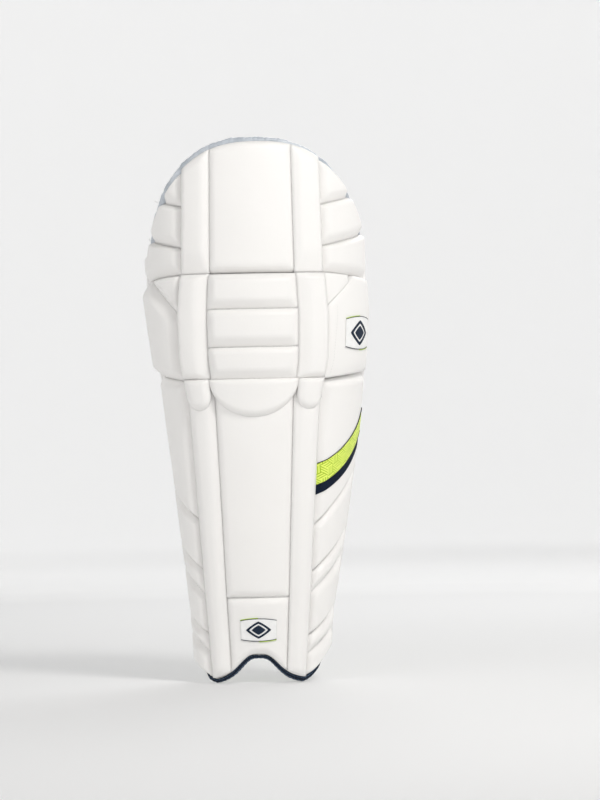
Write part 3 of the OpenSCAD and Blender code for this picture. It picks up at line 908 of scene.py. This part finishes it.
def top_hat_back():
    """The shield-shaped panel, the printed cloth round it and the navy piping between them."""
    shield_low, shield_high = raised(shield_z, 1), raised(dome_z, -7)

    def groove(v, z):
        """A pressed border line inside the shield's edge."""
        gap = np.minimum(shield_high(v) - z, z - shield_low(v))
        return 0.9 * np.exp(-(((gap - 11) / 1.8) ** 2)) + 1.4 * np.exp(-gap / 2.2)

    def cloth_high(v):
        beside = np.minimum(shield_z(v) + 160 * (np.abs(v) - SHIELD_V), dome_z(v) - 6)
        return np.where(np.abs(v) < SHIELD_V, shield_z(v) + 3, beside)

    back_sheet("top_hat_shield", np.linspace(-SHIELD_V, SHIELD_V, 90), shield_low, shield_high, -9.0,
               "top_hat", "cover", ["top_hat_back_panel"], 0.5, emboss=groove)
    cloth = back_sheet("top_hat_print", np.linspace(-1.93, 1.93, 160), raised(seam_z, -24), cloth_high,
                       -6.8, None, "print", ["top_hat_back_cloth"])
    declare_sheet(cloth)
    bend_at_seam(cloth)
    v = np.linspace(-1.04, 1.04, 240)
    z = shield_z(v) + 330 * np.maximum(0, np.abs(v) - SHIELD_V)
    cord("shield_piping", v, z, -8.2, 2.2, "top_hat", "navy", 10)
    emblem("top_hat_emblem", None, 0.0, 682.0, 0.44, 40.0, "top_hat", -8.9)


BOLSTER_STEP = 6
KNEE_V, CHANNEL_V, CORNER_V = 1.28, 0.33, 0.30      # how far each reaches from the centre line
CALF_V, GUSSET_V = (0.335, 1.19), (1.195, 1.30)


def soft_body(name, v0, v1, low, high, far, edge, node_name):
    """A stuffed bolster: a slab, rounded within edge mm of its border, that cloth simulation inflates."""
    near = -BACK_T
    bottom, top = low((v0 + v1) / 2), high((v0 + v1) / 2)
    middle = (bottom + top) / 2
    cols, rows = (max(6, int(length / BOLSTER_STEP)) + 1
                  for length in (across_mm(v1, middle) - across_mm(v0, middle), top - bottom))
    v, z = patch(np.linspace(v0, v1, cols), low, high, rows)
    here = across_mm(v, z)
    rim = np.minimum.reduce([here - across_mm(v0, z), across_mm(v1, z) - here, z - low(v), high(v) - z])
    h = np.sqrt(np.clip(1 - (1 - np.clip(rim / edge, 0, 1)) ** 2, 0, 1))
    obj = sheet_mesh(name, skin(v, z, near - 2.5 + (far - near + 2.5) * h), skin(v, z, near))
    inflate(obj, 4)
    return finish_piece(obj, "root", "mesh", [node_name])


def inflate(obj, cap):
    """Inflates a closed mesh by a short cloth simulation that moves no point by more than cap mm."""
    scene, frames = bpy.context.scene, 20
    remesh = obj.modifiers.new("remesh", "REMESH")
    remesh.mode, remesh.voxel_size = "VOXEL", 0.0052
    bake_modifiers(obj)
    start = np.array([v.co for v in obj.data.vertices])
    cloth = obj.modifiers.new("cloth", "CLOTH")
    settings = cloth.settings
    settings.effector_weights.gravity = 0
    for key, value in (("use_pressure", True), ("uniform_pressure_force", 4.0), ("quality", 5),
                       ("tension_stiffness", 12), ("compression_stiffness", 12), ("bending_stiffness", 0.6)):
        setattr(settings, key, value)
    cloth.point_cache.frame_start, cloth.point_cache.frame_end = 1, frames
    for number in range(1, frames + 1):
        scene.frame_set(number)
    bake_modifiers(obj)
    move = np.array([v.co for v in obj.data.vertices]) - start
    far = np.linalg.norm(move, axis=1)
    move *= (np.minimum(far, cap * MM) / np.maximum(far, 1e-9))[:, None]
    obj.data.vertices.foreach_set("co", (start + move).astype(np.float32).ravel())
    scene.frame_set(1)
    smooth = obj.modifiers.new("smooth", "SMOOTH")
    smooth.factor, smooth.iterations = 0.5, 4
    obj.modifiers.new("fine", "SUBSURF").levels = 1
    bake_modifiers(obj)
    obj.data.shade_smooth()


def bake_modifiers(obj):
    graph = bpy.context.evaluated_depsgraph_get()
    mesh = bpy.data.meshes.new_from_object(obj.evaluated_get(graph), depsgraph=graph)
    obj.modifiers.clear()
    old = obj.data
    obj.data = mesh
    bpy.data.meshes.remove(old)


def rear_padding():
    """The bolsters, with lime gussets beside them, and the channel between them with its printed corner."""
    soft_body("knee_bolster_cushion", -KNEE_V, KNEE_V, line(438), line(546), -27.5, 17, "knee_bolster")
    for side, word in SIDES.items():
        soft_body(f"calf_bolster_{word}_cushion", *sorted(side * v for v in CALF_V),
                  raised(foot_z, 4), line(429), -25.5, 15, f"calf_bolster_{word}")
        back_sheet(f"gusset_{word}", side * np.linspace(*GUSSET_V, 8), raised(foot_z, 14), line(436), -8.0,
                   "root", "gusset", rows=80)
        cord(f"gusset_piping_{word}", GUSSET_V[1] * side, np.linspace(40, 545, 90), -6.0, 1.3, "root",
             "lining")

    def rim(v, z):
        return 1.4 * np.abs(v / CHANNEL_V) ** 6

    def corner_top(v):
        return 62 + 60 * (v + CORNER_V)

    back_sheet("shin_channel", np.linspace(-CHANNEL_V, CHANNEL_V, 24), raised(foot_z, 5), line(440), -9.0,
               "root", "cover", ["shin_liner"], rows=90, emboss=rim)
    declare_sheet(on_pad("shin_channel_corner", None, np.linspace(-CORNER_V, CORNER_V, 24), raised(foot_z, 7),
                         corner_top, -0.5, "print", lift=-9.2, rows=20))
    v = np.linspace(-CORNER_V, CORNER_V, 30)
    cord("shin_channel_line", v, corner_top(v), -9.8, 1.2, "root", "navy")


# ---------------------------------------------------------------- closures
STRAPS = ["lower", "middle", "upper"]
STRAP_H, STRAP_W, TAB_L = [110, 283, 433], [50, 60, 35], [95, 110, 120]
ANCHOR_A, RING_A = [-18, -14, -12], [-4, -3, -3]        # degrees in plan
WEB_T, BAR_R, BAR_GAP, ANCHOR_L, BAR_CLEAR = 2.0, 2.2, 20, 30, 1.8
LOOP_R = BAR_R + BAR_CLEAR + WEB_T
FOLD_R = LOOP_R - WEB_T / 2         # middle of a webbing folded round a bar
EDGE_GAP, TAB_LIFT, TAB_RISE = 3.4, 2.2, 4.6
CROSS_DASH = [(-1.2, 0.16), (-0.8, 0.4), (0.8, 0.4), (1.2, 0.16)]


def turned(degrees, p):
    a = radians(degrees)
    return np.array([p[0] * cos(a) - p[1] * sin(a), p[0] * sin(a) + p[1] * cos(a)])


def side_of(direction):
    return np.array([-direction[1], direction[0]])


def wing_edge(side, i):
    p = skin(2.0 * side, STRAP_H[i], -BACK_T / 2) / MM
    return np.array([p[0], p[1] + EDGE_GAP])


def outer_bar(i):
    return wing_edge(1, i) - turned(ANCHOR_A[i], [ANCHOR_L, 0])


def inner_bar(i):
    return outer_bar(i) - turned(RING_A[i], [BAR_GAP, 0])


def strap_line(i, t):
    """Point and direction of the strap's centre line in plan, in mm."""
    a, c = wing_edge(-1, i), inner_bar(i) + turned(RING_A[i], [0, -FOLD_R])
    b = c - turned(RING_A[i], [np.linalg.norm(c - a) / 2, 0])
    p = (a * (1 - t) + b * t) * (1 - t) + (b * (1 - t) + c * t) * t
    d = (b - a) * (1 - t) + (c - b) * t
    return p, d / np.linalg.norm(d)


def strap_run(i, shares, rise=lambda t: 0.0):
    """Points along the strap's line, raised off it, and the normals there."""
    marks = [strap_line(i, t) for t in shares]
    normals = [side_of(d) for _, d in marks]
    return [p + n * rise(t) for (p, _), n, t in zip(marks, normals, shares)], normals


def ribbon(name, path, normals, i, thick, body, material, nodes=(), narrower=0):
    """A flat band standing on edge: path in plan, normals beside it, as wide as its strap."""
    path, normals = np.array(path), np.array(normals)
    width = STRAP_W[i] - narrower
    run = run_of(path)
    t = np.linspace(0, 1, max(8, int(width / 4)) + 1)
    edge = np.minimum(np.minimum(t, 1 - t) * width / 1.6, 1)
    half = thick / 2 * (0.25 + 0.75 * np.sqrt(1 - (1 - edge) ** 2))
    front, back, uvs = [], [], []
    for share, out in zip(t, half):
        mid = path + normals * (0.18 * np.sin(run * 0.16 + share * 3))[:, None]
        z = STRAP_H[i] + width * (share - 0.5) + (share in (0.0, 1.0)) * 0.25 * np.sin(run * 0.09 + i)
        front.append(np.column_stack([mid + normals * out, z]))
        back.append(np.column_stack([mid - normals * out, z]))
        uvs.append(np.column_stack([run * MM, 0 * run + share]))
    obj = sheet_mesh(name, np.array(front) * MM, np.array(back) * MM, np.array(uvs))
    return finish_piece(obj, body, material, nodes)


def cross_stitch(name, body, i, point, direction, lift, rows=1, gap=0):
    """Rows of thread dashes across a strap's width, raised off a point of its line."""
    normal = side_of(direction)
    marks = []
    for r in range(rows):
        x, y = point + normal * lift + direction * gap * (r - (rows - 1) / 2)
        for z in np.arange(STRAP_H[i] - STRAP_W[i] / 2 + 2, STRAP_H[i] + STRAP_W[i] / 2 - 1, 3.4):
            marks.append((np.array([x, y, z]) * MM, np.array([0, 0, 1.0]), np.array([*normal, 0])))
    return dashes(name, body, marks, CROSS_DASH)


def strap_and_tab(i, word):
    """The long strap, folded round the ring's inner bar, and the tab that turns back over it."""
    strap, tab = f"strap_{word}", f"tab_{word}"
    length = np.linalg.norm(strap_line(i, 1)[0] - strap_line(i, 0)[0])
    reach, slope = TAB_L[i] / length, 20 / length
    hook_end = 1 - reach * 0.42
    path, normals = strap_run(i, np.linspace(0.006, 1, 60))
    fold = [turned(RING_A[i] + a, [1, 0]) for a in np.arange(-80, 91, 10)]
    path += [inner_bar(i) + out * FOLD_R for out in fold]
    ribbon(f"{strap}_webbing", path, normals + [-out for out in fold], i, 1.8, strap, "webbing", [strap])

    def tab_rise(t):
        """Level along the strap, then up over the fold."""
        return TAB_RISE + (LOOP_R + FOLD_R + TAB_LIFT - TAB_RISE) * max(0.0, (t - 1 + slope) / slope)

    path, normals = strap_run(i, np.linspace(1 - reach, 1, 40), tab_rise)
    ribbon(f"{tab}_webbing", path, normals, i, 1.8, tab, "webbing", [tab])
    for name, body, lift, start, stop, narrower in (
            ("hook_tape", tab, 3.15, 1 - reach + 0.01, hook_end, 3),
            ("loop_tape", strap, 1.45, 1 - reach - 0.08, 1 - 24 / length, 4)):
        path, normals = strap_run(i, np.linspace(start, stop, 24), lambda t, lift=lift: lift)
        ribbon(f"{name}_{word}", path, normals, i, 1.0, body, "hook", narrower=narrower)
    for share in (hook_end, 1 - reach + 0.03):
        cross_stitch(f"{tab}_stitches_{int(share * 100)}", tab, i, *strap_line(i, share), 5.6)


def ring_moulding(word):
    """The CAD ring with its edges eased."""
    ring = f"ring_{word}"
    copy = placed(f"{ring}_moulding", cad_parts[ring].data.copy())
    copy.data.materials.clear()
    ease = copy.modifiers.new("ease", "BEVEL")
    ease.width, ease.segments, ease.limit_method, ease.angle_limit = 0.0012, 3, "ANGLE", radians(50)
    bake_modifiers(copy)
    copy.data.shade_smooth()
    finish_piece(copy, ring, "ring", [ring])


def anchor(i, word):
    """The short webbing looped round the ring's outer bar and sewn to the wing."""
    centre, tilt = outer_bar(i), ANCHOR_A[i]
    leg = [(ANCHOR_L - 0.5, 1.0), (20, 1.0), (13, 1.1), (8, 2.4), (4, 3.9)]
    loop = [(FOLD_R * cos(a), FOLD_R * sin(a)) for a in np.radians(np.arange(70, 291, 10))]
    path = [centre + turned(tilt, p) for p in leg + loop + [(x, -y) for x, y in leg[::-1]]]
    normals = [-side_of(t / np.linalg.norm(t)) for t in np.gradient(np.array(path), axis=0)]
    ribbon(f"anchor_{word}_webbing", path, normals, i, 1.7, "root", "webbing", [f"anchor_{word}"])
    direction = turned(tilt, [1, 0])
    cross_stitch(f"anchor_{word}_stitches", "root", i, centre + direction * 14, direction, 2.1, 2, 2.4)


def sewn_ends(i, word):
    """The ends of the strap and the anchor on the wings' linings."""
    low, high = STRAP_H[i] - STRAP_W[i] / 2, STRAP_H[i] + STRAP_W[i] / 2
    for side, name in SIDES.items():
        v, z = patch(np.linspace(1.76, 1.995, 20) * side, line(low), line(high), 12)
        uvs = np.stack([across_mm(v, z) * MM, (z - low) / STRAP_W[i]], -1)
        obj = sheet_mesh(f"sewn_end_{word}_{name}", skin(v, z, -6.2), skin(v, z, -3.8), uvs)
        finish_piece(obj, "root", "webbing")


# ---------------------------------------------------------------- stage
def studio():
    """A paper floor that curves up into a wall all round, far behind any camera, and soft lights. The paper
    glows with painted light, and its glow and colour grow lighter further from the pad.
    """
    profile = [(r, 0.0) for r in (0.5, 1.5, 3.0, 5.0)]
    profile += [(5.0 + 4.0 * sin(a), 4.0 - 4.0 * cos(a)) for a in np.radians(np.arange(5, 91, 5))]
    profile += [(9.0, 7.0)]
    around = 72
    verts = [(r * cos(2 * pi * k / around), r * sin(2 * pi * k / around), z)
             for r, z in profile for k in range(around)]
    floor = new_object("studio_floor", verts, ring_faces(len(profile), around)[:-1])
    # Painted light: the paper glows though it is no lamp, and both its glow and its colour are paler further
    # from the pad
    mat, tree, shader = principled("glowing_studio_paper", Roughness=0.9, Emission_Strength=0.91)
    x, y, _ = split_xyz(position(tree))
    reach = times(maths("SQRT", add(maths("POWER", x, 2.0), maths("POWER", y, 2.0))), 0.2)
    painted_light_and_mottle = add(reach, times(noise(position(tree), 3, 2), 0.03))
    for name, greys in (("Base Color", ((0.12, 0.74), (0.45, 0.75), (0.7, 0.88))),
                        ("Emission Color", ((0.12, 0.12), (0.45, 0.14), (0.7, 0.29), (1.0, 0.40)))):
        link(ramp(painted_light_and_mottle, [(place, (grey, grey, grey)) for place, grey in greys]), shader, name)
    floor.data.materials.append(mat)

    def area(name, place, target, size, power, tint=(1, 1, 1)):
        light = bpy.data.lights.new(name, "AREA")
        light.shape, (light.size, light.size_y) = "RECTANGLE", size
        light.energy, light.color = power, tint
        placed(name, light, place, (Vector(target) - Vector(place)).to_track_quat("-Z", "Y").to_euler())

    area("key", (1.0, -1.35, 2.1), (0, 0, 0.5), (0.6, 0.6), 24.5, (1.0, 0.985, 0.96))
    area("fill", (-2.2, -3.0, 1.2), (0, 0, 0.4), (2.2, 2.2), 10)
    area("back_fill", (0.8, 2.4, 2.2), (0, 0.2, 0.4), (2.0, 1.4), 32)
    world = bpy.data.worlds.new("soft_room")
    world.use_nodes = True
    room = world.node_tree.nodes["Background"].inputs
    room["Color"].default_value, room["Strength"].default_value = (1.0, 0.995, 0.985, 1), 0.21
    bpy.context.scene.world = world
    bpy.context.scene.view_settings.view_transform = "Standard"


VIEW_TALL = 1110.5                      # height that the picture spans at the pad, in mm
VIEW_RIGHT, VIEW_UP = 63.6, 392.1       # its middle, right of the pad's centre line and above the floor
VIEW_FAR, VIEW_ROLL = 5.2, 1.1          # metres, degrees


def camera():
    cam = bpy.data.cameras.new("camera")
    cam.sensor_width = 36
    cam.lens = cam.sensor_width * VIEW_FAR / (VIEW_TALL * MM)
    cam.clip_end = 50
    place = ((CENTRE_X + VIEW_RIGHT) * MM, (FRONT_Y - PANEL_D) * MM - VIEW_FAR, VIEW_UP * MM)
    bpy.context.scene.camera = placed("camera", cam, place, (radians(90), radians(VIEW_ROLL), 0))


for build in (camera, studio, cover, top_hat, knee, shin, tongues, edge_rolls, dome_binding, foot_binding,
              seam_stitching, wing_band, badges, top_hat_back, rear_padding):
    build()
for i, word in enumerate(STRAPS):
    strap_and_tab(i, word)
    ring_moulding(word)
    anchor(i, word)
    sewn_ends(i, word)
